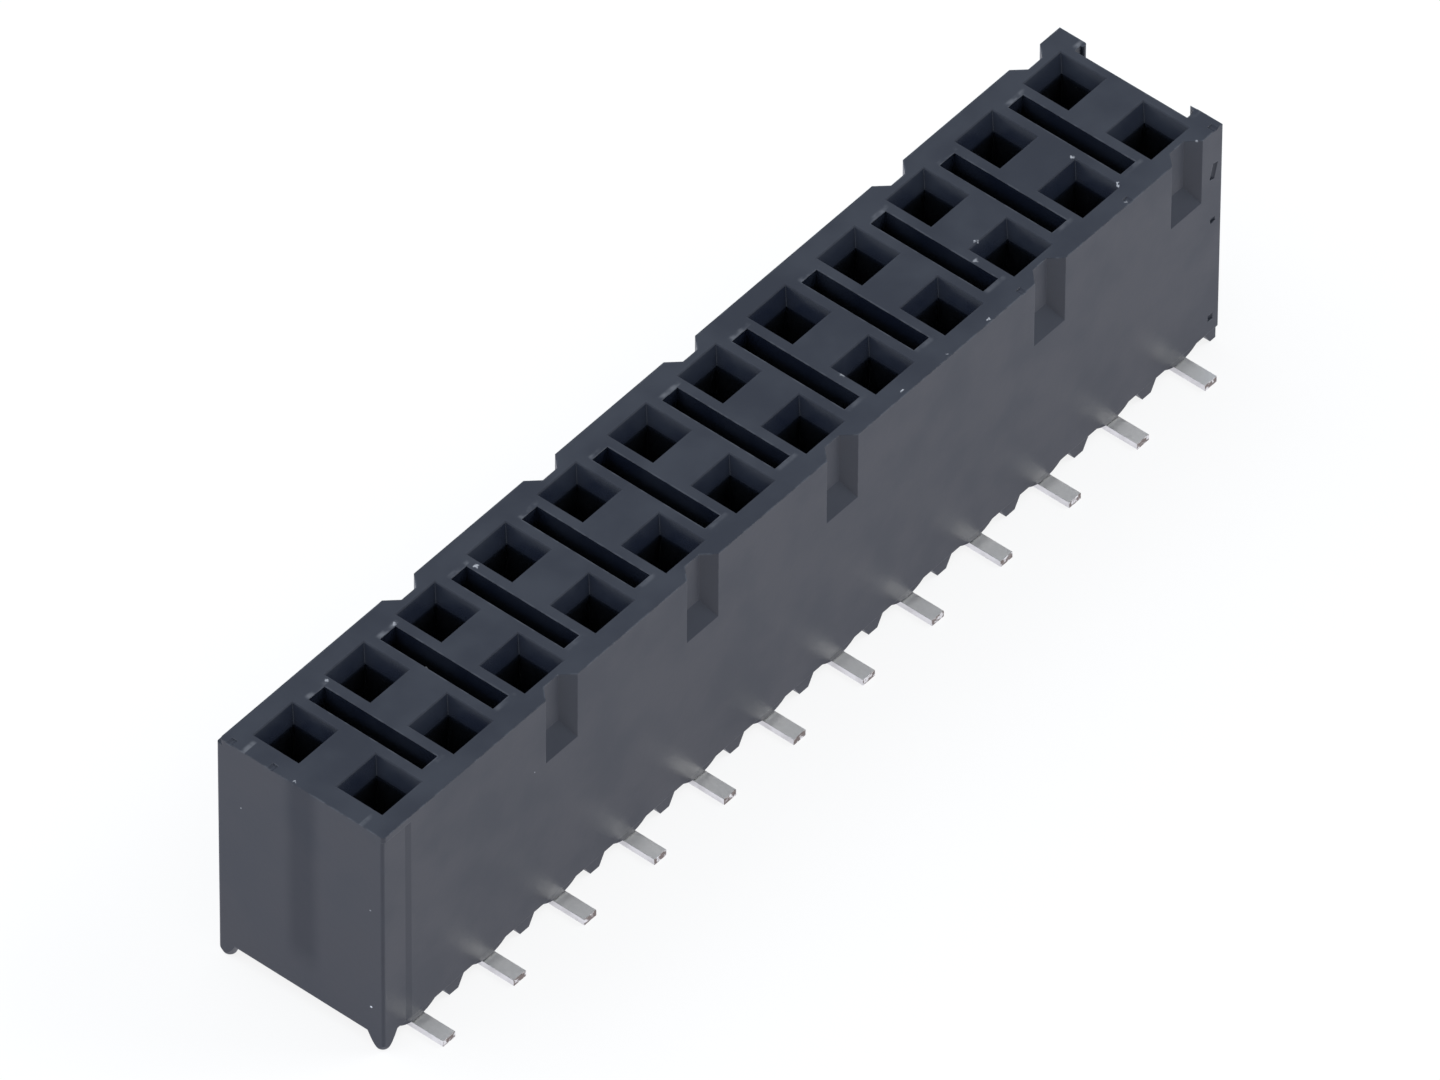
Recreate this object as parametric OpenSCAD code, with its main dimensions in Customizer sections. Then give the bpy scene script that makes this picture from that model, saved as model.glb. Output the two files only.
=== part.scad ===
// Two-row socket strip for surface mounting: one moulded housing with a stamped spring contact
// in every socket. +X runs from the moulded end to the end that was cut to length, +Z is up,
// and the board lies at z = 0. Row a is on the -Y side, row b on the +Y side.

/* [Grid] */
// Number of columns of sockets
columns = 12; // [2:1:20]
// Distance from one column to the next
pitch = 2.54; // [2.5:0.01:3]
// Distance between the two rows
row_pitch = 2.54; // [2.5:0.01:2.7]

/* [Housing] */
// Width of the housing across both rows
body_w = 5; // [4.95:0.05:5.6]
// Height of the walls from their lower edge to the top face
body_h = 6.8; // [6.2:0.05:8.5]
// Gap between the board and the lower edge of the walls
wall_lift = 0.48; // [0.42:0.01:0.7]
// From the first column to the moulded end
end_margin = 1.28; // [1.2:0.01:2]
// From the last column to the cut end
cut_margin = 1.31; // [1.28:0.01:1.5]
// Radius of the upright corners of the moulded end, at the top face
corner_r = 0.1; // [0.04:0.01:0.2]

/* [Sockets] */
// Width of the square mouth in the top face
mouth_w = 1.4; // [1.1:0.01:1.5]
// Depth of the tapered mouth
mouth_depth = 0.42; // [0.3:0.01:0.7]
// Radius of the rounded rim of a mouth
rim_r = 0.05; // [0.02:0.01:0.2]
// Width of the square throat under the mouth
throat_w = 0.94; // [0.75:0.01:1.05]
// Depth from the top face to the lower end of the throat
throat_depth = 1.6; // [1:0.05:2]
// Width of the contact chamber along the strip
chamber_w = 1.5; // [1.4:0.01:1.6]
// Length of the contact chamber across the strip
chamber_l = 1.4; // [1.3:0.01:1.5]

/* [Slots between the columns] */
// Length of a slot across the strip
slot_l = 3.45; // [2.8:0.05:3.8]
// Width of a slot along the strip
slot_w = 0.56; // [0.4:0.01:0.6]
// Depth of a slot below the top face
slot_depth = 5; // [2:0.1:5.6]

/* [Grooves in the long sides] */
// Columns that have a groove on both long sides
groove_columns = [3, 5, 7, 10, 12]; // [1:1:20]
// Width of a groove at the face of the wall
groove_mouth = 1.14; // [0.9:0.01:1.4]
// Width of the flat floor of a groove
groove_floor = 0.52; // [0.2:0.01:0.8]
// Depth of a groove
groove_depth = 0.33; // [0.15:0.01:0.4]
// Height of a groove from the top face down
groove_h = 2.1; // [1:0.05:4]
// Height of the slope in which the floor of a groove runs out
groove_run = 0.58; // [0.2:0.02:0.8]

/* [Feet and noses] */
// Set-back of the feet and noses from the face of the wall
rail_inset = 0.06; // [0:0.01:0.1]
// Gap between the board and the underside of the feet
foot_lift = 0.04; // [0.02:0.01:0.2]
// Width of a foot at its underside
foot_w = 0.32; // [0.2:0.01:0.5]
// Width of a foot where it leaves the wall
foot_root_w = 0.82; // [0.6:0.01:0.95]
// Width of the round nose over a tail where it leaves the wall
nose_w = 1.44; // [0.9:0.01:1.6]
// Radius of a corner foot at its underside
nub_tip_r = 0.17; // [0.1:0.01:0.25]
// Radius of a corner foot where it leaves the wall
nub_root_r = 0.36; // [0.28:0.01:0.5]

/* [Moulded end] */
// Length of the stretch that the end insert of the mould formed
insert_l = 0.8; // [0.5:0.01:1.2]
// Length of the slope from the stretch of the insert to the walls
insert_ramp = 0.18; // [0.05:0.01:0.3]
// Set-back of the stretch from the -Y side
insert_in = 0.03; // [0.01:0.01:0.06]
// Reach of the stretch beyond the +Y side
insert_out = 0.1; // [0.02:0.01:0.15]
// Gap between the top face and the upper end of the steps
insert_drop = 0.18; // [0.05:0.01:0.5]
// Radius of the upright corners below the steps
insert_corner_r = 0.08; // [0.02:0.01:0.2]
// Radius of the nicks in the edges of the top face
nick_r = 0.15; // [0.05:0.01:0.2]

/* [Cut end] */
// Plastic that the cutter took off the wall behind the opened slot
cut_trim = 0.06; // [0.02:0.01:0.15]
// Reach of the torn burr from the inner edge of the cut wall
burr_reach = 0.2; // [0.05:0.01:0.3]
// Height of the burr below the top face
burr_h = 0.6; // [0.2:0.05:2]
// Radius of the rolled bead on the opposite cut wall
bead_r = 0.08; // [0.04:0.01:0.12]
// Radius of the gouges beside the cut edge
gouge_r = 0.1; // [0.05:0.01:0.14]

/* [Contacts] */
// Thickness of the strip the contacts are stamped from
stock = 0.18; // [0.12:0.01:0.2]
// Width of a solder tail
tail_w = 0.43; // [0.3:0.01:0.6]
// Reach of a solder tail beyond the wall
tail_reach = 0.88; // [0.4:0.01:1.4]
// Inside radius of the bend into the tail
bend_r = 0.15; // [0.1:0.01:0.18]
// Height of the folded base above the board
base_lift = 1; // [0.8:0.05:1.4]
// Height of the folded base
base_h = 1.4; // [1:0.05:1.8]
// Inside radius of the folds of the base
fold_r = 0.1; // [0.05:0.01:0.15]
// Width of a spring beam
beam_w = 0.6; // [0.4:0.01:0.8]
// Gap between the two beams where they grip a pin
pinch_gap = 0.4; // [0.3:0.01:0.55]
// Height of the flared beam tips
flare_h = 0.6; // [0.4:0.02:0.8]
// Spread of a beam tip from where it grips
flare = 0.2; // [0.1:0.01:0.25]
// Gap between the beam tips and the lower end of the throat
tip_gap = 0.2; // [0.1:0.05:0.4]
// Height of a barb on the side of the base
barb = 0.05; // [0.02:0.01:0.08]
// Clearance between a contact and the housing
contact_clear = 0.02; // [0.01:0.01:0.04]

/* [Hidden] */
$fn = 48;
// Overlap that makes joined shapes one solid and cuts run past a face
lap = 0.2;

// Lengths and heights of the housing
strip_l = end_margin + (columns - 1) * pitch + cut_margin;
moulded_x = -strip_l / 2;
cut_x = strip_l / 2;
top_z = wall_lift + body_h;
throat_z = top_z - throat_depth;
slot_z = top_z - slot_depth;
insert_x = moulded_x + insert_l;
ramp_x = insert_x + insert_ramp;
insert_low_y = insert_in - body_w / 2;
insert_high_y = insert_out + body_w / 2;
insert_z = top_z - insert_drop;

// Lean of the walls of a mouth from upright, and how far the round rim reaches beyond its edge
mouth_lean = atan((mouth_w - throat_w) / 2 / mouth_depth);
rim_reach = rim_r * tan((90 - mouth_lean) / 2);

// Places across a contact, measured outward from the axis of its pin
seat_v = chamber_l / 2 - contact_clear;
arm_v = -seat_v;
bend_v = seat_v + bend_r;
tail_v = body_w / 2 + tail_reach - row_pitch / 2;

// The feet and noses hang from a thin rail outside the bends of the contacts
rail_y = body_w / 2 - rail_inset;
rail_t = rail_y - row_pitch / 2 - bend_v - contact_clear;
nose_z = stock + contact_clear;
nose_drop = wall_lift - nose_z;
nose_r = (pow(nose_w / 2, 2) + pow(nose_drop, 2)) / (2 * nose_drop);

// Sizes of a contact
base_w = chamber_w - 2 * (contact_clear + barb);
base_top = base_lift + base_h;
side_x = (base_w - stock) / 2;
pinch_x = (pinch_gap + stock) / 2;
tip_z = throat_z - tip_gap;
pinch_z = tip_z - flare_h;
beam_steps = 12;
barb_l = base_h / 3;

// Gouges beside the cut edge: depth below the top face, length and lean of each
gouges = [[1.35, 0.5, 15], [3, 0.15, -10], [6.3, 0.2, 0]];
gouge_inset = 0.3;
gouge_depth = 0.06;

// Nicks in the top edge of the end face, from the middle, and of the -Y side, from the cut end
end_nicks = [2.2, 0.95];
side_nicks = [0.25, 3.4, 7.35];
nick_depth = 0.03;

function column_x(col) = moulded_x + end_margin + (col - 1) * pitch;
function boundary_x(col) = column_x(col) + pitch / 2;
function row_side(row) = row == "a" ? -1 : 1;
function contact_name(row, col) = str("contact_", row, col < 10 ? "0" : "", col);

// A child drawn in x and z, extruded across the strip from y0 to y1
module across(y0, y1) {
    translate([0, y1, 0])
        rotate([90, 0, 0])
            linear_extrude(y1 - y0)
                children();
}

// A child drawn in y and z, extruded along the strip from x0 to x1
module along(x0, x1) {
    translate([x0, 0, 0])
        rotate([90, 0, 90])
            linear_extrude(x1 - x0)
                children();
}

// Places its child at every socket of both rows
module at_sockets() {
    for (side = [-1, 1], col = [1:columns])
        translate([column_x(col), side * row_pitch / 2, 0])
            children();
}

// Square hole on the axis of a socket
module square_hole(w, l, z0, z1) {
    translate([-w / 2, -l / 2, z0])
        cube([w, l, z1 - z0]);
}

// Outline of the top face, round at the corners of the moulded end
module top_plan() {
    r = corner_r;
    translate([moulded_x + r, -body_w / 2])
        square([strip_l - r, body_w]);
    translate([moulded_x, r - body_w / 2])
        square([strip_l, body_w - 2 * r]);
    for (side = [-1, 1])
        translate([moulded_x + r, side * (body_w / 2 - r)])
            circle(r);
}

// Outline of the walls below the steps, with the stretch of the insert set to one side
module wall_plan() {
    r = insert_corner_r;
    polygon([
        [cut_x, -body_w / 2],
        [cut_x, body_w / 2],
        [ramp_x, body_w / 2],
        [insert_x, insert_high_y],
        [moulded_x + r, insert_high_y],
        [moulded_x, insert_high_y - r],
        [moulded_x, insert_low_y + r],
        [moulded_x + r, insert_low_y],
        [insert_x, insert_low_y],
        [ramp_x, -body_w / 2]
    ]);
    for (y = [insert_low_y + r, insert_high_y - r])
        translate([moulded_x + r, y])
            circle(r);
}

// Foot between two columns, seen from the side: a wedge with a flat underside
module foot_outline() {
    polygon([
        [-foot_w / 2, foot_lift],
        [foot_w / 2, foot_lift],
        [foot_root_w / 2, wall_lift],
        [foot_root_w / 2, wall_lift + lap],
        [-foot_root_w / 2, wall_lift + lap],
        [-foot_root_w / 2, wall_lift]
    ]);
}

// Nose that bears on a tail, seen from the side: a segment of a circle
module nose_outline() {
    intersection() {
        translate([0, nose_z + nose_r])
            circle(nose_r);
        translate([-nose_w / 2, 0])
            square([nose_w, wall_lift + lap]);
    }
}

// Scalloped lower edge of a long side, cut off where the strip ends
module rail_outline() {
    intersection() {
        union() {
            for (col = [1:columns]) {
                translate([column_x(col), 0])
                    nose_outline();
                translate([boundary_x(col), 0])
                    foot_outline();
            }
        }
        translate([moulded_x, 0])
            square([strip_l, top_z]);
    }
}

// Tapered round foot at each corner of the moulded end, trimmed to the walls
module corner_feet() {
    nub_inset = nub_tip_r + contact_clear;
    intersection() {
        for (y = [insert_low_y + nub_inset, insert_high_y - nub_inset])
            translate([moulded_x + nub_inset, y, foot_lift])
                cylinder(h = wall_lift - foot_lift, r1 = nub_tip_r, r2 = nub_root_r);
        linear_extrude(top_z)
            wall_plan();
    }
}

// The plain block of the housing: top, walls, feet and noses
module moulded_body() {
    translate([0, 0, insert_z])
        linear_extrude(insert_drop)
            top_plan();
    translate([0, 0, wall_lift])
        linear_extrude(insert_z - wall_lift)
            wall_plan();
    across(-rail_y, rail_t - rail_y)
        rail_outline();
    across(rail_y - rail_t, rail_y)
        rail_outline();
    corner_feet();
}

// Nicks in the edges of the top face, each a short round notch
module edge_nicks() {
    nick_z = top_z + nick_r - nick_depth;
    for (y = end_nicks)
        along(moulded_x - lap, moulded_x + lap)
            translate([y, nick_z])
                circle(nick_r);
    for (x = side_nicks)
        across(-body_w / 2 - lap, lap - body_w / 2)
            translate([cut_x - x, nick_z])
                circle(nick_r);
}

// Mouths of all sockets: two sets of tapered bars that cross at right angles
module mouths() {
    intersection() {
        across(-body_w / 2, body_w / 2)
            for (col = [1:columns])
                translate([column_x(col), 0])
                    mouth_outline();
        along(moulded_x, cut_x)
            for (side = [-1, 1])
                translate([side * row_pitch / 2, 0])
                    mouth_outline();
    }
}

// Tapered section of a mouth, carried past the top face, with both rims rounded
module mouth_outline() {
    polygon([
        [-throat_w / 2, top_z - mouth_depth],
        [throat_w / 2, top_z - mouth_depth],
        [mouth_w / 2, top_z],
        [mouth_w / 2, top_z + lap],
        [-mouth_w / 2, top_z + lap],
        [-mouth_w / 2, top_z]
    ]);
    for (side = [0, 1])
        mirror([side, 0])
            rim_outline();
}

// What the round rim adds to one side of a mouth: the corner outside a circle
module rim_outline() {
    edge_x = mouth_w / 2;
    difference() {
        polygon([
            [edge_x - rim_reach * sin(mouth_lean), top_z - rim_reach * cos(mouth_lean)],
            [edge_x + rim_reach, top_z - rim_r],
            [edge_x + rim_reach, top_z + lap],
            [0, top_z + lap]
        ]);
        translate([edge_x + rim_reach, top_z - rim_r])
            circle(rim_r);
    }
}

// Slots between the columns, the last of them opened and trimmed by the cut
module slots() {
    for (col = [1:columns - 1])
        translate([boundary_x(col) - slot_w / 2, -slot_l / 2, slot_z])
            cube([slot_w, slot_l, slot_depth + lap]);
    translate([boundary_x(columns) - slot_w / 2 - cut_trim, -slot_l / 2, slot_z])
        cube([pitch, slot_l, slot_depth + lap]);
}

// Grooves of both long sides: a trapezium from above, run out in a slope below
module grooves() {
    wall_y = body_w / 2;
    floor_y = wall_y - groove_depth;
    end_z = top_z - groove_h;
    side_run = (groove_mouth - groove_floor) / 2 / groove_depth;
    slope = groove_run / groove_depth;
    for (side = [0, 1])
        mirror([0, side, 0])
            intersection() {
                linear_extrude(top_z + lap)
                    for (col = groove_columns)
                        if (col <= columns)
                            translate([column_x(col), 0])
                                polygon([
                                    [-groove_floor / 2, floor_y],
                                    [groove_floor / 2, floor_y],
                                    [groove_mouth / 2 + lap * side_run, wall_y + lap],
                                    [-groove_mouth / 2 - lap * side_run, wall_y + lap]
                                ]);
                along(moulded_x, cut_x)
                    polygon([
                        [wall_y + lap, end_z - lap * slope],
                        [floor_y, end_z + groove_run],
                        [floor_y, top_z + lap],
                        [wall_y + lap, top_z + lap]
                    ]);
            }
}

// Short round gouges in the wall beside the cut
module cut_gouges() {
    for (g = gouges)
        translate([cut_x - gouge_inset, gouge_depth - gouge_r - body_w / 2, top_z - g[0]])
            rotate([0, g[2], 0])
                cylinder(h = g[1], r = gouge_r, center = true);
}

// What the cutter left on the inner edges of the cut walls: a torn burr and a rolled bead
module cut_burrs() {
    edge_y = slot_l / 2;
    translate([0, 0, top_z - burr_h])
        linear_extrude(burr_h) {
            polygon([
                [cut_x, -edge_y - lap],
                [cut_x - burr_reach / 10, burr_reach - edge_y],
                [cut_x - burr_reach / 2, burr_reach / 4 - edge_y],
                [cut_x - burr_reach, -edge_y],
                [cut_x - burr_reach, -edge_y - lap]
            ]);
            translate([cut_x - bead_r, edge_y])
                circle(bead_r);
        }
}

// The moulded housing
module housing() {
    color([0.2, 0.21, 0.24]) {
        difference() {
            moulded_body();
            mouths();
            at_sockets() {
                square_hole(throat_w, throat_w, throat_z - lap, top_z);
                square_hole(chamber_w, chamber_l, 0, throat_z);
            }
            slots();
            grooves();
            edge_nicks();
            cut_gouges();
        }
        cut_burrs();
    }
}

// Rectangle from v0 to v1 with two round corners at v1, for a folded sheet seen from above
module folded_outline(w, v0, v1, r) {
    translate([-w / 2, v0])
        square([w, v1 - r - v0]);
    translate([r - w / 2, v0])
        square([w - 2 * r, v1 - v0]);
    for (side = [-1, 1])
        translate([side * (w / 2 - r), v1 - r])
            circle(r);
}

// Base of a contact: a channel folded from the sheet, open on the inner side
module base_channel() {
    translate([0, 0, base_lift])
        linear_extrude(base_h)
            difference() {
                folded_outline(base_w, arm_v, seat_v, fold_r + stock);
                folded_outline(base_w - 2 * stock, arm_v - lap, seat_v - stock, fold_r);
            }
}

// Saw-tooth barbs that hold the base in its chamber
module barbs() {
    for (side = [0, 1])
        mirror([side, 0, 0])
            across(-beam_w / 2, beam_w / 2)
                polygon([
                    [base_w / 2 - stock / 2, base_lift + barb_l],
                    [base_w / 2, base_lift + barb_l],
                    [base_w / 2 + barb, base_lift + barb_l],
                    [base_w / 2, base_lift + 2 * barb_l],
                    [base_w / 2 - stock / 2, base_lift + 2 * barb_l]
                ]);
}

// Centre line of a spring beam: it leans in from the base, grips, then flares out
function ease(t) = t * t * (3 - 2 * t);
function beam_x(z) =
    z <= base_top ? side_x
    : z <= pinch_z ? side_x + (pinch_x - side_x) * ease((z - base_top) / (pinch_z - base_top))
    : pinch_x + flare * pow((z - pinch_z) / flare_h, 2);
function beam_z(i) = base_top + (tip_z - base_top) * i / beam_steps;
function beam_slope(z) = (beam_x(z + 0.01) - beam_x(z - 0.01)) / 0.02;
function beam_edge(z, off) =
    [beam_x(z), z] + off * [1, -beam_slope(z)] / sqrt(1 + pow(beam_slope(z), 2));

// Section of a spring beam, as thick as the sheet all the way up
module beam_outline() {
    half = stock / 2;
    polygon(concat(
        [[side_x - half, base_top - lap], [side_x + half, base_top - lap]],
        [for (i = [0:beam_steps]) beam_edge(beam_z(i), half)],
        [for (i = [beam_steps:-1:0]) beam_edge(beam_z(i), -half)]
    ));
}

// Stem in the plane of the back of the base, with sloping shoulders
module stem() {
    shoulder_w = base_w - 2 * (fold_r + stock);
    across(seat_v - stock, seat_v)
        polygon([
            [-tail_w / 2, stock + bend_r],
            [tail_w / 2, stock + bend_r],
            [tail_w / 2, base_lift - lap],
            [shoulder_w / 2, base_lift],
            [shoulder_w / 2, base_lift + lap],
            [-shoulder_w / 2, base_lift + lap],
            [-shoulder_w / 2, base_lift],
            [-tail_w / 2, base_lift - lap]
        ]);
}

// Bend at the foot of the stem and the solder tail, which lies flat on the board
module tail() {
    along(-tail_w / 2, tail_w / 2) {
        intersection() {
            translate([bend_v, stock + bend_r])
                difference() {
                    circle(bend_r + stock);
                    circle(bend_r);
                }
            translate([seat_v - stock, 0])
                square([bend_r + stock, bend_r + stock]);
        }
        translate([bend_v, 0])
            square([tail_v - bend_v, stock]);
    }
}

// One stamped contact: base, barbs, two spring beams, stem and tail
module contact(row, col) {
    color([0.72, 0.72, 0.73])
        translate([column_x(col), row_side(row) * row_pitch / 2, 0])
            rotate([0, 0, row_side(row) < 0 ? 180 : 0]) {
                base_channel();
                barbs();
                for (side = [0, 1])
                    mirror([side, 0, 0])
                        across(-beam_w / 2, beam_w / 2)
                            beam_outline();
                stem();
                tail();
            }
}

housing();
for (row = ["a", "b"], col = [1:columns])
    contact(row, col);
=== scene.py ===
# %% [markdown]
# # A socket strip for a circuit board
# The part is a black moulded housing with two rows of square sockets. A stamped metal contact stands
# in every socket, and its flat tail is soldered to the board. The solids come from the imported
# model and are never moved or reshaped here. This script gives them real finishes, which on the
# plastic include a painted shade low in the sockets and a painted highlight along the edges and at
# the slot ends, adds the dust and the torn plastic that a handled strip carries, and sets up a small
# studio.

# %% Load the imported part
import math

import bpy
from mathutils import Matrix, Vector


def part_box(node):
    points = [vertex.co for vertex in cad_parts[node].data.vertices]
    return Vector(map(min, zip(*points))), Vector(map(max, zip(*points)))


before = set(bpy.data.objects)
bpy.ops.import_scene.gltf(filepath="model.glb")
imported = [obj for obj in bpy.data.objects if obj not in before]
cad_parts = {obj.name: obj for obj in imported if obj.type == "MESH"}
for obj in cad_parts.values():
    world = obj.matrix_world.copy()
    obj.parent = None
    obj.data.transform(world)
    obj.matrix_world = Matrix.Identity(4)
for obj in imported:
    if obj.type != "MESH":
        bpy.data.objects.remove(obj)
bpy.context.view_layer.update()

MM = 0.001
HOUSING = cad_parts["housing"]
CONTACTS = [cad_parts[name] for name in sorted(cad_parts) if name != "housing"]
HOUSING_LOW, HOUSING_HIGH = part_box("housing")
MOULDED_X = HOUSING_LOW.x / MM
CUT_X = HOUSING_HIGH.x / MM
TOP_Z = HOUSING_HIGH.z / MM
print("loaded", len(CONTACTS), "contacts and one housing", HOUSING_HIGH - HOUSING_LOW)

# %% [markdown]
# ## The camera
# The strip was photographed with a long lens from above one corner, so its edges stay almost
# parallel. A long focal length and a distant camera give the same drawing. The angles, the aim
# point and the distance are real values in the frame of the part.

# %% Camera
CAMERA_AZIMUTH = math.radians(-50.2)
CAMERA_ELEVATION = math.radians(46.04)
CAMERA_ROLL = math.radians(0.38)
CAMERA_AIM = Vector((-1.536, -1.106, 5.450)) * MM
CAMERA_DISTANCE = 645.5 * MM
CAMERA_LENS = 689.6
SENSOR_WIDTH = 36.0
NEAREST_SEEN = 10 * MM


def camera_axes():
    """Right, up and back directions of the camera in the part's frame."""
    back = Vector((
        math.sin(CAMERA_AZIMUTH) * math.cos(CAMERA_ELEVATION),
        -math.cos(CAMERA_AZIMUTH) * math.cos(CAMERA_ELEVATION),
        math.sin(CAMERA_ELEVATION),
    ))
    right = Vector((math.cos(CAMERA_AZIMUTH), math.sin(CAMERA_AZIMUTH), 0.0))
    up = back.cross(right)
    cos_roll = math.cos(CAMERA_ROLL)
    sin_roll = math.sin(CAMERA_ROLL)
    return right * cos_roll + up * sin_roll, up * cos_roll - right * sin_roll, back


right, up, back = camera_axes()
camera = bpy.data.objects.new("camera", bpy.data.cameras.new("camera"))
bpy.context.scene.collection.objects.link(camera)
camera.data.lens = CAMERA_LENS
camera.data.sensor_width = SENSOR_WIDTH
camera.data.clip_start = NEAREST_SEEN
turn = Matrix((right, up, back)).transposed().to_4x4()
camera.matrix_world = Matrix.Translation(CAMERA_AIM + back * CAMERA_DISTANCE) @ turn
bpy.context.scene.camera = camera
print("camera at", camera.matrix_world.translation)

# %% [markdown]
# ## Small helpers for node trees
# A shader is a chain of small nodes, and most of them need only a few numbers or links. These
# helpers make a node in one line: a value that is itself a socket is linked, and anything else
# is written on the socket.


# %% Node helpers
def feed(tree, socket, value):
    """Link a socket to another one, or write a plain value on it."""
    if isinstance(value, bpy.types.NodeSocket):
        tree.links.new(value, socket)
    else:
        socket.default_value = value


def add_node(tree, kind, inputs, **settings):
    """Make a shader node, set its options and feed its inputs."""
    made = tree.nodes.new("ShaderNode" + kind)
    for option, value in settings.items():
        setattr(made, option, value)
    for name, value in inputs.items():
        feed(tree, made.inputs[name], value)
    return made


def calc(tree, operation, first, second=0.0):
    """One step of arithmetic on values."""
    return add_node(tree, "Math", {0: first, 1: second}, operation=operation).outputs[0]


def ramp(tree, value, low, high):
    """0 below low, 1 above high, and smooth between; low may be the larger one."""
    inputs = {"Value": value, "From Min": low, "From Max": high}
    made = add_node(tree, "MapRange", inputs, interpolation_type="SMOOTHSTEP")
    return made.outputs["Result"]


def between(tree, factor, low, high):
    """A value that goes from low to high with a mask."""
    inputs = {"Value": factor, "To Min": low, "To Max": high}
    return add_node(tree, "MapRange", inputs).outputs["Result"]


def tint(tree, factor, under, over):
    """Lay one colour over another through a mask."""
    made = add_node(tree, "Mix", {0: factor, 6: under, 7: over}, data_type="RGBA")
    return made.outputs[2]


def noise(tree, place, scale, detail=3.0):
    """Soft random values, with scale in lumps per millimetre."""
    inputs = {"Vector": place, "Scale": scale, "Detail": detail}
    return add_node(tree, "TexNoise", inputs).outputs[0]


def part_place(tree):
    """The place on the part in millimetres, which stays with the part in any view."""
    coordinates = add_node(tree, "TexCoord", {}).outputs["Object"]
    scaled = add_node(tree, "VectorMath", {0: coordinates, "Scale": 1 / MM}, operation="SCALE")
    return scaled.outputs[0]


def parts_of(tree, vector):
    """The three numbers of a vector."""
    return add_node(tree, "SeparateXYZ", {0: vector}).outputs


print("node helpers ready")

# %% [markdown]
# ## The floor
# A white sheet under soft light is the plainest studio there is. The floor is matt and takes the
# shadow of the strip. Black plastic shows mostly what it mirrors, so the floor also counts as pale
# and faintly blue for reflections, and as almost pure white where the camera looks at it. Both
# change only how the floor is seen, and neither lights the strip. Right below the strip the floor
# stays as dark as it is, or it would shine up through the sockets.

# %% Floor
FLOOR_SIZE = 4.0
FLOOR_DROP = 0.004 * MM
FLOOR_WHITE = (0.9, 0.9, 0.9, 1.0)
FLOOR_GLOW = 0.85
FLOOR_MIRRORED = 0.74
LOOKED_AT_TONE = (1.0, 1.0, 1.0, 1.0)
MIRRORED_TONE = (0.97, 0.97, 1.07, 1.0)
HIDDEN_X, HIDDEN_Y = 14.6, 1.9
HIDDEN_BLUR = 0.2


def beside_strip(tree):
    """A mask for the floor that isn't hidden below the strip."""
    x, y = parts_of(tree, part_place(tree))[:2]
    along = calc(tree, "ABSOLUTE", x)
    along = ramp(tree, along, HIDDEN_X - HIDDEN_BLUR, HIDDEN_X + HIDDEN_BLUR)
    across = calc(tree, "ABSOLUTE", y)
    across = ramp(tree, across, HIDDEN_Y - HIDDEN_BLUR, HIDDEN_Y + HIDDEN_BLUR)
    return calc(tree, "MAXIMUM", along, across)


def white_floor_material():
    """Matt white that keeps shadows, lifted where it is looked at or mirrored."""
    material = bpy.data.materials.new("white_floor")
    material.use_nodes = True
    tree = material.node_tree
    tree.nodes.clear()
    matt = add_node(tree, "BsdfDiffuse", {"Color": FLOOR_WHITE})
    path = add_node(tree, "LightPath", {}).outputs
    tone = tint(tree, path["Is Glossy Ray"], LOOKED_AT_TONE, MIRRORED_TONE)
    glow = add_node(tree, "Emission", {"Color": tone, "Strength": 1.0})
    looked_at = calc(tree, "MULTIPLY", path["Is Camera Ray"], FLOOR_GLOW)
    mirrored = calc(tree, "MULTIPLY", path["Is Glossy Ray"], FLOOR_MIRRORED)
    lift = calc(tree, "MULTIPLY", calc(tree, "MAXIMUM", looked_at, mirrored), beside_strip(tree))
    mix = add_node(tree, "MixShader", {0: lift, 1: matt.outputs[0], 2: glow.outputs[0]})
    add_node(tree, "OutputMaterial", {"Surface": mix.outputs[0]})
    return material


def add_floor():
    """One square sheet just under the tails."""
    mesh = bpy.data.meshes.new("floor")
    half = FLOOR_SIZE / 2
    corners = [(-half, -half, 0), (half, -half, 0), (half, half, 0), (-half, half, 0)]
    mesh.from_pydata(corners, [], [(0, 1, 2, 3)])
    mesh.materials.append(white_floor_material())
    floor = bpy.data.objects.new("floor", mesh)
    floor.location.z = -FLOOR_DROP
    bpy.context.scene.collection.objects.link(floor)


add_floor()
print("laid a floor of", FLOOR_SIZE, "m")

# %% [markdown]
# ## Sky and lamps
# An even, faintly blue sky fills the shadows and gives the top its cool tone. Two square softboxes
# shape the rest. A large one behind on the left brings out the moulded end, and a small one in
# front on the right lights the tails, so each tail shows as a pale streak in the glossy wall.

# %% Sky and lamps
SKY_COLOUR = (0.83, 0.905, 1.0, 1.0)
SKY_STRENGTH = 0.81
COOL_WHITE = (0.88, 0.93, 1.0)
PLAIN_WHITE = (1.0, 1.0, 1.0)
LAMP_DISTANCE = 0.5
SOFTBOXES = {
    "key_softbox": dict(azimuth=-140, elevation=50, size=0.5, power=1.4, colour=COOL_WHITE),
    "front_softbox": dict(azimuth=50, elevation=46, size=0.22, power=0.95, colour=PLAIN_WHITE),
}


def add_softbox(name, azimuth, elevation, size, power, colour):
    """A square lamp that faces the strip from a direction given in degrees."""
    lamp = bpy.data.lights.new(name, "AREA")
    lamp.shape = "SQUARE"
    lamp.size = size
    lamp.energy = power
    lamp.color = colour
    box = bpy.data.objects.new(name, lamp)
    a, e = math.radians(azimuth), math.radians(elevation)
    towards = Vector((math.sin(a) * math.cos(e), -math.cos(a) * math.cos(e), math.sin(e)))
    box.location = towards * LAMP_DISTANCE
    box.rotation_euler = towards.to_track_quat("Z", "Y").to_euler()
    bpy.context.scene.collection.objects.link(box)


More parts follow.
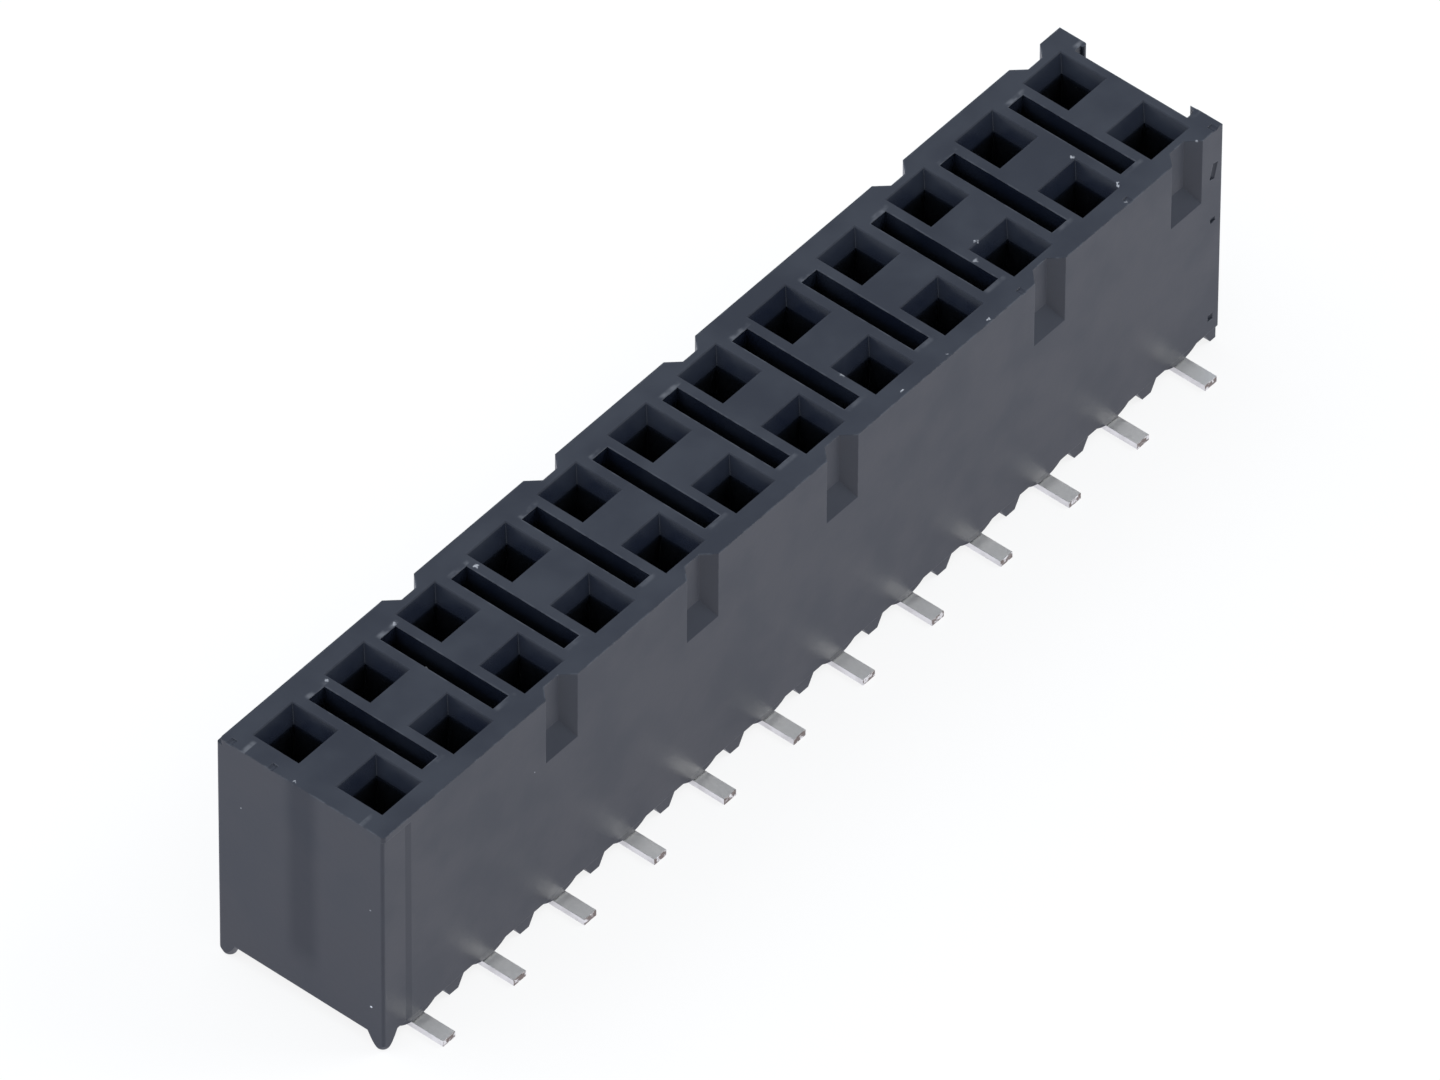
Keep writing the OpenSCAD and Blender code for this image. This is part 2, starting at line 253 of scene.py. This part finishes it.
def set_sky():
    """A pale even sky that fills the shadows."""
    world = bpy.data.worlds.new("sky")
    bpy.context.scene.world = world
    world.use_nodes = True
    shade = world.node_tree.nodes["Background"]
    shade.inputs["Color"].default_value = SKY_COLOUR
    shade.inputs["Strength"].default_value = SKY_STRENGTH


bpy.context.scene.view_settings.view_transform = "Standard"
set_sky()
for softbox, values in SOFTBOXES.items():
    add_softbox(softbox, **values)
print("lit by the sky and", ", ".join(SOFTBOXES))

# %% [markdown]
# ## Shared effects as node groups
# Plastic and tin share a few effects: edges that aren't quite sharp, a fine grain with broader
# patches, rubbed edges, dust and single spots. On the plastic the rubbed edges also carry a painted
# highlight. Each is one node group with its own inputs, so it is built once and every material
# places it with other values. A group gives only masks, values and normals. The shader itself stays
# in the material.


# %% A maker for node groups
def new_group(name, inputs, outputs):
    """An empty node group with its sockets; returns the group, its inputs and its outputs."""
    group = bpy.data.node_groups.new(name, "ShaderNodeTree")
    for label, kind in inputs:
        group.interface.new_socket(label, in_out="INPUT", socket_type="NodeSocket" + kind)
    for label, kind in outputs:
        group.interface.new_socket(label, in_out="OUTPUT", socket_type="NodeSocket" + kind)
    start = group.nodes.new("NodeGroupInput")
    end = group.nodes.new("NodeGroupOutput")
    print("made group", name)
    return group, start.outputs, end.inputs


def place_group(tree, group, inputs):
    """Put a group into a material with its own values, and return its outputs."""
    made = tree.nodes.new("ShaderNodeGroup")
    made.node_tree = group
    for name, value in inputs.items():
        feed(tree, made.inputs[name], value)
    return made.outputs


print("group maker ready")

# %% [markdown]
# ### Soft edges and relief
# No mould and no stamping die leaves a perfectly sharp edge. A Bevel modifier could round them, but
# these solids have very short edges next to very long ones, and there it folds the faces over. The
# Bevel node leaves the shape alone and bends only the normals near an edge, so that light runs
# softly around it. A Bump on top of that turns a height into fine relief.

# %% Group: soft relief
EDGE_SAMPLES = 6


def make_soft_relief():
    """A normal, rounded at the edges and raised by a height of 0 to 1; sizes in millimetres."""
    inputs = [("Height", "Float"), ("Depth", "Float"), ("Edge Radius", "Float")]
    group, given, result = new_group("soft_relief", inputs, [("Normal", "Vector")])
    radius = calc(group, "MULTIPLY", given["Edge Radius"], MM)
    depth = calc(group, "MULTIPLY", given["Depth"], MM)
    rounded = add_node(group, "Bevel", {"Radius": radius}, samples=EDGE_SAMPLES).outputs[0]
    relief = {"Height": given["Height"], "Distance": depth, "Normal": rounded}
    group.links.new(add_node(group, "Bump", relief).outputs[0], result["Normal"])
    return group


SOFT_RELIEF = make_soft_relief()

# %% [markdown]
# ### Grain and patches
# The skin of a moulding copies the fine spark-eroded texture of the steel, and it is never equally
# smooth all over. Two noises do it: a small one for the grain, which becomes a height, and a large
# one for patches, which becomes a mask for gloss and colour.

# %% Group: surface grain
GRAIN_DETAIL, PATCH_DETAIL = 2.0, 4.0
PATCH_FROM, PATCH_FULL = 0.3, 0.7


def make_surface_grain():
    """Fine grain and broad patches, both from 0 to 1."""
    inputs = [("Place", "Vector"), ("Grain Size", "Float"), ("Patch Size", "Float")]
    outputs = [("Grain", "Float"), ("Patches", "Float")]
    group, given, result = new_group("surface_grain", inputs, outputs)
    per_grain = calc(group, "DIVIDE", 1.0, given["Grain Size"])
    per_patch = calc(group, "DIVIDE", 1.0, given["Patch Size"])
    group.links.new(noise(group, given["Place"], per_grain, GRAIN_DETAIL), result["Grain"])
    broad = noise(group, given["Place"], per_patch, PATCH_DETAIL)
    group.links.new(ramp(group, broad, PATCH_FROM, PATCH_FULL), result["Patches"])
    return group


SURFACE_GRAIN = make_surface_grain()

# %% [markdown]
# ### Rubbed edges, and on the plastic a painted highlight
# Edges meet everything that the part touches, so they turn paler and duller. On the plastic the
# paler colour is also a painted highlight that runs along the outer edges. Ambient Occlusion can
# look into the solid instead of out of it, and there it finds the outer edges, where the next face
# is near, and passes over the inner corners. A noise breaks the mask up, so the paler edges come and
# go.

# %% Group: outer edges, rubbed, and on the plastic a painted highlight
INWARD_SAMPLES = 8
FLAT_INWARD, EDGE_INWARD = 0.95, 0.65
EDGE_BREAK_DETAIL = 4.0
EDGE_BREAK_FROM, EDGE_BREAK_FULL = 0.42, 0.62


def make_outer_edges():
    """A broken mask along the outer edges, as wide as the given width in millimetres."""
    inputs = [("Place", "Vector"), ("Width", "Float"), ("Break Size", "Float")]
    group, given, result = new_group("outer_edges", inputs, [("Mask", "Float")])
    reach = {"Distance": calc(group, "MULTIPLY", given["Width"], MM)}
    looking = {"samples": INWARD_SAMPLES, "inside": True, "only_local": True}
    inward = add_node(group, "AmbientOcclusion", reach, **looking)
    edge = ramp(group, inward.outputs["AO"], FLAT_INWARD, EDGE_INWARD)
    per_break = calc(group, "DIVIDE", 1.0, given["Break Size"])
    broken = noise(group, given["Place"], per_break, EDGE_BREAK_DETAIL)
    broken = ramp(group, broken, EDGE_BREAK_FROM, EDGE_BREAK_FULL)
    group.links.new(calc(group, "MULTIPLY", edge, broken), result["Mask"])
    return group


OUTER_EDGES = make_outer_edges()

# %% [markdown]
# ### Dust
# A strip that has lain in a bag collects pale specks. A Voronoi texture drops one point in each
# cell. A random number of the cell decides whether that point is a speck and how big it is, and a
# little noise bends the cells so that no speck is a perfect disc.

# %% Group: settled dust
DUST_LUMPS, DUST_BEND = 14.0, 0.06
SMALLEST_SPECK = 0.35
SPECK_CORE = 0.6


def bend_place(tree, place, lumps, amount):
    """Shift every place by a little noise, so that round shapes turn irregular."""
    wobble = add_node(tree, "TexNoise", {"Vector": place, "Scale": lumps}).outputs["Color"]
    centred = add_node(tree, "VectorMath", {0: wobble, 1: (0.5, 0.5, 0.5)}, operation="SUBTRACT")
    inputs = {0: centred.outputs[0], 1: (amount, amount, amount), 2: place}
    return add_node(tree, "VectorMath", inputs, operation="MULTIPLY_ADD").outputs[0]


def make_settled_dust():
    """Specks scattered over the surface; Share is the part of the cells that hold one."""
    inputs = [("Place", "Vector"), ("Cell Size", "Float")]
    inputs += [("Speck Size", "Float"), ("Share", "Float")]
    group, given, result = new_group("settled_dust", inputs, [("Mask", "Float")])
    bent = bend_place(group, given["Place"], DUST_LUMPS, DUST_BEND)
    per_cell = calc(group, "DIVIDE", 1.0, given["Cell Size"])
    cells = add_node(group, "TexVoronoi", {"Vector": bent, "Scale": per_cell}).outputs
    chance = add_node(group, "SeparateColor", {0: cells["Color"]}).outputs
    held = calc(group, "LESS_THAN", chance[0], given["Share"])
    size = between(group, chance[1], SMALLEST_SPECK, 1.0)
    radius = calc(group, "MULTIPLY", given["Speck Size"], size)
    away = calc(group, "MULTIPLY", cells["Distance"], given["Cell Size"])
    speck = ramp(group, calc(group, "DIVIDE", away, radius), 1.0, SPECK_CORE)
    group.links.new(calc(group, "MULTIPLY", speck, held), result["Mask"])
    return group


SETTLED_DUST = make_settled_dust()

# %% [markdown]
# ### Single spots
# Some marks sit at one known place, such as a crumb beside a socket. A small ball around that place
# does it: the surface is marked where it lies inside the ball, and the rim of the mark is soft.

# %% Group: one spot
SPOT_CORE = 0.4


def make_spot():
    """A mask for one spot of the given radius."""
    inputs = [("Place", "Vector"), ("Centre", "Vector"), ("Radius", "Float")]
    group, given, result = new_group("spot", inputs, [("Mask", "Float")])
    ends = {0: given["Place"], 1: given["Centre"]}
    span = add_node(group, "VectorMath", ends, operation="DISTANCE").outputs["Value"]
    share = calc(group, "DIVIDE", span, given["Radius"])
    group.links.new(ramp(group, share, 1.0, SPOT_CORE), result["Mask"])
    return group


SPOT = make_spot()

# %% [markdown]
# ## The cut end
# Such strips are moulded long and cut to the number of columns that is needed. The cutter leaves a
# rough, pale face with streaks down it. Its mask is the skin at the far end that faces along the
# strip, and a noise that is stretched upright draws the streaks.

# %% Mask: the cut end
CUT_SKIN = 0.03
CUT_LEANING, CUT_FACING = 0.5, 0.8
STREAK_SQUEEZE = 0.12
STREAK_LUMPS, STREAK_DETAIL = 9.0, 6.0


def cut_face(tree, place):
    """A mask for the end that was cut, and the streaks that the cutter left down it."""
    x, y, z = parts_of(tree, place)
    facing = parts_of(tree, add_node(tree, "NewGeometry", {}).outputs["Normal"])[0]
    at_end = calc(tree, "GREATER_THAN", x, CUT_X - CUT_SKIN)
    mask = calc(tree, "MULTIPLY", at_end, ramp(tree, facing, CUT_LEANING, CUT_FACING))
    upright = calc(tree, "MULTIPLY", z, STREAK_SQUEEZE)
    drawn = add_node(tree, "CombineXYZ", {0: 0.0, 1: y, 2: upright}).outputs[0]
    return mask, noise(tree, drawn, STREAK_LUMPS, STREAK_DETAIL)


print("cut end at x =", round(CUT_X, 3), "mm")

# %% [markdown]
# ## Flash at the slots
# Where two pieces of a mould meet, a film of plastic creeps between them and tears to a pale line.
# On this strip a pale line shows at the ends of the slots, strongest at the +Y ends: it is partly
# such flash and partly a painted highlight, where the rounded slot ends would catch the lamp in
# front. The slots lie midway between the columns of contacts and repeat with the pitch, so a folded
# X gives all of them at once. A noise leaves most of the lines incomplete.


# %% Mask: flash and painted highlight at the slots
def column_x(name):
    """The middle of a contact along the strip, in millimetres."""
    low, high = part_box(name)
    return (low.x + high.x) / 2 / MM


PITCH = column_x("contact_a02") - column_x("contact_a01")
SLOT_FIRST = column_x("contact_a01") + PITCH / 2
SLOT_END = 1.725
FLASH_HIGHLIGHT_SHIFT = 0.08
FLASH_HIGHLIGHT_HALF, FLASH_HIGHLIGHT_TIP = 0.26, 0.40
FLASH_HIGHLIGHT_RISE, FLASH_HIGHLIGHT_FALL, FLASH_HIGHLIGHT_GONE = 0.03, 0.08, 0.17
# Weaker on the -Y side, because the painted highlight is strongest at the +Y ends of the slots.
FLASH_HIGHLIGHT_FRONT = 0.4
FLASH_HIGHLIGHT_LUMPS = 2.0
FLASH_HIGHLIGHT_FROM, FLASH_HIGHLIGHT_FULL = 0.42, 0.66
TOP_SKIN = 0.01


def slot_flash_and_highlight(tree, place):
    """A mask for the thin pale line at the ends of the slots, strongest on the +Y side: torn mould
    film and painted highlight.
    """
    x, y, z = parts_of(tree, place)
    aside = calc(tree, "PINGPONG", calc(tree, "SUBTRACT", x, SLOT_FIRST + FLASH_HIGHLIGHT_SHIFT), PITCH / 2)
    beyond = calc(tree, "SUBTRACT", calc(tree, "ABSOLUTE", y), SLOT_END)
    line = ramp(tree, beyond, 0.0, FLASH_HIGHLIGHT_RISE)
    line = calc(tree, "MULTIPLY", line, ramp(tree, beyond, FLASH_HIGHLIGHT_GONE, FLASH_HIGHLIGHT_FALL))
    line = calc(tree, "MULTIPLY", line, ramp(tree, aside, FLASH_HIGHLIGHT_TIP, FLASH_HIGHLIGHT_HALF))
    line = calc(tree, "MULTIPLY", line, calc(tree, "GREATER_THAN", z, TOP_Z - TOP_SKIN))
    line = calc(tree, "MULTIPLY", line, between(tree, ramp(tree, y, -1.0, 1.0), FLASH_HIGHLIGHT_FRONT, 1.0))
    broken = ramp(tree, noise(tree, place, FLASH_HIGHLIGHT_LUMPS), FLASH_HIGHLIGHT_FROM, FLASH_HIGHLIGHT_FULL)
    return calc(tree, "MULTIPLY", line, broken)


print("flash at slots every", round(PITCH, 3), "mm from x =", round(SLOT_FIRST, 3), "mm")

# %% [markdown]
# ## A dull stripe on the moulded end
# The plastic shrinks most where it is thickest, so the skin in the middle of the end left the steel
# a little early and is duller there. The stripe is a soft mask across the end, and it only makes
# the gloss rougher.

# %% Mask: the dull stripe
END_SKIN = 0.02
STRIPE_CORE, STRIPE_EDGE = 0.16, 0.66
STRIPE_FOOT, STRIPE_FULL = 0.9, 2.2


def dull_stripe(tree, place):
    """A soft upright stripe in the middle of the moulded end."""
    x, y, z = parts_of(tree, place)
    stripe = calc(tree, "LESS_THAN", x, MOULDED_X + END_SKIN)
    across = ramp(tree, calc(tree, "ABSOLUTE", y), STRIPE_EDGE, STRIPE_CORE)
    stripe = calc(tree, "MULTIPLY", stripe, across)
    return calc(tree, "MULTIPLY", stripe, ramp(tree, z, STRIPE_FOOT, STRIPE_FULL))


print("moulded end at x =", round(MOULDED_X, 3), "mm")

# %% [markdown]
# ## Dull socket rims
# Pins and test probes find the rims of the mouths first and scuff them. The rims are the only faces
# near the top that lean without being walls, so the normal and the height together pick them out:
# the upward part of the normal is small on a wall, 1 on the flat top and in between on a rim.

# %% Mask: socket rims
RIM_DROP = 0.1
WALL_UPWARD, RIM_UPWARD = 0.50, 0.58
FLAT_UPWARD, ROUND_UPWARD = 0.998, 0.98


def socket_rims(tree, place):
    """A mask for the round rims of the mouths."""
    upward = parts_of(tree, add_node(tree, "NewGeometry", {}).outputs["Normal"])[2]
    near_top = calc(tree, "GREATER_THAN", parts_of(tree, place)[2], TOP_Z - RIM_DROP)
    no_wall = ramp(tree, upward, WALL_UPWARD, RIM_UPWARD)
    not_flat = ramp(tree, upward, FLAT_UPWARD, ROUND_UPWARD)
    return calc(tree, "MULTIPLY", calc(tree, "MULTIPLY", no_wall, not_flat), near_top)


print("rims end at z =", round(TOP_Z, 3), "mm")

# %% [markdown]
# ## Polished sockets and slots
# The steel pins that shape the sockets and slots are polished, or the moulding would stick to them.
# The walls inside are smoother for it and mirror each other, which is why they look so dark. The
# mask is everything inside the outer walls and below the top. It stops short of both ends, so the
# slot that the cut opened is plain: the cutter trimmed its wall. A second mask grows with the depth
# and darkens the colour further down: it is painted shade inside the sockets and slots.

# %% Mask: polished walls and painted shade in the depths
INNER_Y = 2.05
INNER_MARGIN = 0.5
INNER_DROP = 0.02
SHADE_DEPTH_FROM, SHADE_DEPTH_FULL = 0.3, 0.6


def polished_walls_and_depth_shade(tree, place):
    """A mask for the walls inside the sockets and slots, and one for the painted shade further down
    in them.
    """
    x, y, z = parts_of(tree, place)
    inside = calc(tree, "LESS_THAN", calc(tree, "ABSOLUTE", y), INNER_Y)
    inside = calc(tree, "MULTIPLY", inside, calc(tree, "LESS_THAN", z, TOP_Z - INNER_DROP))
    inside = calc(tree, "MULTIPLY", inside, calc(tree, "GREATER_THAN", x, MOULDED_X + INNER_MARGIN))
    inside = calc(tree, "MULTIPLY", inside, calc(tree, "LESS_THAN", x, CUT_X - INNER_MARGIN))
    # Painted shade: the colour darkens further below the top inside the sockets and slots.
    below = ramp(tree, z, TOP_Z - SHADE_DEPTH_FROM, TOP_Z - SHADE_DEPTH_FULL)
    return inside, calc(tree, "MULTIPLY", inside, below)


print("polished within", INNER_Y, "mm of the middle")

# %% [markdown]
# ## Crumbs
# Cutting leaves crumbs of plastic, and most of them cling to the top near the cut end. Each one is
# a spot with its own place on the top, radius and strength, and bent places give it a ragged edge.

# %% Mask: crumbs
CRUMB_LUMPS, CRUMB_BEND = 10.0, 0.22
CRUMBS = [
    (14.4, -2.4, 0.05, 0.4),
    (12.1, -0.5, 0.07, 0.5),
    (12.1, -1.9, 0.07, 0.9),
    (11.8, -2.4, 0.06, 0.3),
    (8.8, -0.7, 0.05, 0.3),
    (8.5, -0.55, 0.07, 0.6),
    (8.0, -0.95, 0.08, 0.3),
    (6.7, -2.4, 0.06, 0.5),
    (5.2, -2.4, 0.06, 0.3),
    (3.6, -2.35, 0.06, 0.6),
    (3.1, -0.95, 0.09, 0.35),
    (-7.2, 1.55, 0.09, 0.5),
    (-9.85, 1.8, 0.07, 0.4),
    (-12.25, 1.8, 0.07, 0.4),
    (-15.2, 0.25, 0.05, 0.5),
]


def crumbs(tree, place):
    """A mask for the single crumbs, each as strong as the list says."""
    bent = bend_place(tree, place, CRUMB_LUMPS, CRUMB_BEND)
    mask = 0.0
    for x, y, radius, strength in CRUMBS:
        values = {"Place": bent, "Centre": (x, y, TOP_Z), "Radius": radius}
        spot = place_group(tree, SPOT, values)["Mask"]
        mask = calc(tree, "MAXIMUM", calc(tree, "MULTIPLY", spot, strength), mask)
    return mask


print("crumbs to place:", len(CRUMBS))

# %% [markdown]
# ## Black moulded plastic
# The housing is a black, faintly blue thermoplastic with a semi-gloss skin. Almost all of its light
# is reflection, so the base colour is very dark and the gloss does the work: the long side mirrors
# the pale floor, and the top mirrors the sky. First all the masks are gathered under plain names.


# %% Plastic: its masks
def plastic_masks(tree, place):
    """Every mask that changes the skin of the housing, by name."""
    skin = {"Place": place, "Grain Size": 0.15, "Patch Size": 1.6}
    edge_inputs = {"Place": place, "Width": 0.05, "Break Size": 0.3}
    specks = {"Place": place, "Cell Size": 0.9, "Speck Size": 0.05, "Share": 0.06}
    grain = place_group(tree, SURFACE_GRAIN, skin)
    dust = place_group(tree, SETTLED_DUST, specks)["Mask"]
    torn, streaks = cut_face(tree, place)
    polished, depth_shade = polished_walls_and_depth_shade(tree, place)
    return {
        "grain": grain["Grain"],
        "patches": grain["Patches"],
        "along_edges": place_group(tree, OUTER_EDGES, edge_inputs)["Mask"],
        "dust": calc(tree, "MAXIMUM", dust, crumbs(tree, place)),
        "torn": torn,
        "torn bits": calc(tree, "MULTIPLY", torn, streaks),
        "flash_and_highlight": slot_flash_and_highlight(tree, place),
        "polished": polished,
        "depth_shade": depth_shade,
        "stripe": dull_stripe(tree, place),
        "rims": socket_rims(tree, place),
    }


print("masks of the plastic ready")

# %% [markdown]
# ### Colour and gloss of the plastic
# The colour is laid on in layers: the plastic itself, a painted shade in its depths, the edges,
# paler from rubbing and with a painted highlight, the torn bits together with the pale line at the
# slot ends, which is partly flash and partly painted highlight, and last the dust. Roughness starts
# from the patches. Each mask then raises it, and only the polished walls bring it down.

# %% Plastic: colour and gloss
PLASTIC = (0.008, 0.011, 0.021, 1.0)
PLASTIC_PALE = (0.016, 0.02, 0.031, 1.0)
# Darker colour for the painted shade low in the sockets and slots.
PLASTIC_DEPTH_SHADE = (0.005, 0.006, 0.008, 1.0)
# Paler colour for the outer edges: rubbed plastic and a painted highlight.
PLASTIC_RUBBED_AND_HIGHLIGHT = (0.11, 0.12, 0.14, 1.0)
# Pale colour for torn bits, and for the slot-end line that is partly flash and partly a painted
# highlight.
PLASTIC_TORN_AND_HIGHLIGHT = (0.16, 0.165, 0.18, 1.0)
DUST_WHITE = (0.62, 0.63, 0.66, 1.0)
WEAR_AND_HIGHLIGHT_TINT, FLASH_HIGHLIGHT_TINT = 0.3, 0.55
GLOSSY, DULL, RUBBED_ROUGH = 0.32, 0.46, 0.55
RIM_ROUGH, LOOSE_ROUGH = 0.8, 0.85
POLISH = 0.5
STRIPE_DULLER = 0.2


def plastic_colour(tree, masks):
    """Black plastic, paler in patches and where it is torn or dusty, darker low in the sockets with
    painted shade, and paler along the edges and at the slot ends, partly worn and torn, partly
    painted highlight.
    """
    colour = tint(tree, masks["patches"], PLASTIC, PLASTIC_PALE)
    # Painted shade, darker low in the sockets and slots.
    colour = tint(tree, masks["depth_shade"], colour, PLASTIC_DEPTH_SHADE)
    # Paler outer edges: partly rubbed plastic, partly a painted highlight.
    colour = tint(tree, calc(tree, "MULTIPLY", masks["along_edges"], WEAR_AND_HIGHLIGHT_TINT), colour, PLASTIC_RUBBED_AND_HIGHLIGHT)
    # The pale line at the slot ends is partly torn flash and partly a painted highlight.
    flash_and_highlight = calc(tree, "MULTIPLY", masks["flash_and_highlight"], FLASH_HIGHLIGHT_TINT)
    colour = tint(tree, calc(tree, "MAXIMUM", masks["torn bits"], flash_and_highlight), colour, PLASTIC_TORN_AND_HIGHLIGHT)
    return tint(tree, masks["dust"], colour, DUST_WHITE)


def plastic_roughness(tree, masks):
    """Semi-gloss, smoother inside the sockets and rougher where it is worn, torn or dusty."""
    rough = between(tree, masks["patches"], GLOSSY, DULL)
    rough = calc(tree, "MAXIMUM", rough, between(tree, masks["along_edges"], 0.0, RUBBED_ROUGH))
    rough = calc(tree, "MULTIPLY", rough, between(tree, masks["polished"], 1.0, POLISH))
    rough = calc(tree, "ADD", rough, between(tree, masks["stripe"], 0.0, STRIPE_DULLER))
    rough = calc(tree, "MAXIMUM", rough, between(tree, masks["rims"], 0.0, RIM_ROUGH))
    loose = calc(tree, "MAXIMUM", masks["torn"], masks["dust"])
    return calc(tree, "MAXIMUM", rough, between(tree, loose, 0.0, LOOSE_ROUGH))


print("plastic roughness from", GLOSSY * POLISH, "in the sockets to", LOOSE_ROUGH, "on dust")

# %% [markdown]
# ### The housing gets its finish
# The shader takes the colour, the roughness and a normal. The height below that normal is the fine
# grain all over, with much coarser relief on the cut end.

# %% Plastic of the housing
SKIN_DEPTH, SKIN_EDGE = 0.0012, 0.025
TORN_HEIGHT = 8.0


def new_material(name):
    """A material with its Principled shader; returns the material, its tree and the shader."""
    material = bpy.data.materials.new(name)
    material.use_nodes = True
    tree = material.node_tree
    return material, tree, tree.nodes["Principled BSDF"]


def moulded_plastic():
    """Black semi-gloss plastic with patches, worn edges, dust, one torn end, painted shade low in
    the sockets and painted highlights along the edges and at the slot ends.
    """
    material, tree, shader = new_material("black_moulded_plastic")
    masks = plastic_masks(tree, part_place(tree))
    coarse = calc(tree, "MULTIPLY", masks["torn bits"], TORN_HEIGHT)
    height = calc(tree, "ADD", masks["grain"], coarse)
    relief = {"Height": height, "Depth": SKIN_DEPTH, "Edge Radius": SKIN_EDGE}
    feed(tree, shader.inputs["Base Color"], plastic_colour(tree, masks))
    feed(tree, shader.inputs["Roughness"], plastic_roughness(tree, masks))
    feed(tree, shader.inputs["Normal"], place_group(tree, SOFT_RELIEF, relief)["Normal"])
    return material


HOUSING.material_slots[0].material = moulded_plastic()
print("housing finished in", HOUSING.material_slots[0].material.name)

# %% [markdown]
# ## Tin plate
# The contacts are stamped from bronze strip that was tinned beforehand. Tin is a soft pale metal
# with a satin surface, and fine draw lines run along the strip. A grain that is stretched along Y
# and Z gives the lines, because the strip runs out along the tail and up into the socket. The tails
# were sheared off after plating, so their ends show the darker, browner metal below.

# %% Tin of the contacts
TIN = (0.91, 0.895, 0.875, 1.0)
TIN_DULL = (0.8, 0.785, 0.765, 1.0)
TIN_BRIGHT = (0.93, 0.93, 0.93, 1.0)
BARE_METAL = (0.23, 0.19, 0.17, 1.0)
TIN_SATIN, TIN_MATT = 0.42, 0.55
TIN_GRAIN, TIN_PATCH = 0.03, 0.4
TIN_DEPTH, TIN_EDGE = 0.0008, 0.015
BRIGHT_TINT = 0.6
ALONG_STRIP = (1.0, 0.08, 0.08)
TAIL_END = -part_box("contact_a01")[0].y / MM
SHEAR_SKIN = 0.012
SHEAR_LUMPS = 9.0
SHEAR_FROM, SHEAR_FULL = 0.35, 0.5


def sheared_end(tree, place):
    """A mask for the outer end of a tail, uneven where tin was dragged over the shear."""
    reach = calc(tree, "ABSOLUTE", parts_of(tree, place)[1])
    mask = calc(tree, "GREATER_THAN", reach, TAIL_END - SHEAR_SKIN)
    bare = ramp(tree, noise(tree, place, SHEAR_LUMPS), SHEAR_FROM, SHEAR_FULL)
    return calc(tree, "MULTIPLY", mask, bare)


def tin_plate():
    """Satin tin with draw lines, patches, bright edges and bare sheared ends."""
    material, tree, shader = new_material("satin_tin_plate")
    shader.inputs["Metallic"].default_value = 1.0
    place = part_place(tree)
    drawn = add_node(tree, "VectorMath", {0: place, 1: ALONG_STRIP}, operation="MULTIPLY").outputs[0]
    lines = {"Place": drawn, "Grain Size": TIN_GRAIN, "Patch Size": TIN_PATCH}
    height = place_group(tree, SURFACE_GRAIN, lines)["Grain"]
    blotches = {"Place": place, "Grain Size": TIN_GRAIN, "Patch Size": TIN_PATCH}
    patches = place_group(tree, SURFACE_GRAIN, blotches)["Patches"]
    edge_inputs = {"Place": place, "Width": 0.03, "Break Size": 0.15}
    along_edges = place_group(tree, OUTER_EDGES, edge_inputs)["Mask"]
    colour = tint(tree, patches, TIN, TIN_DULL)
    colour = tint(tree, sheared_end(tree, place), colour, BARE_METAL)
    colour = tint(tree, calc(tree, "MULTIPLY", along_edges, BRIGHT_TINT), colour, TIN_BRIGHT)
    relief = {"Height": height, "Depth": TIN_DEPTH, "Edge Radius": TIN_EDGE}
    feed(tree, shader.inputs["Base Color"], colour)
    feed(tree, shader.inputs["Roughness"], between(tree, patches, TIN_SATIN, TIN_MATT))
    feed(tree, shader.inputs["Normal"], place_group(tree, SOFT_RELIEF, relief)["Normal"])
    return material


tin = tin_plate()
for contact in CONTACTS:
    contact.material_slots[0].material = tin
print("contacts finished in", tin.name)
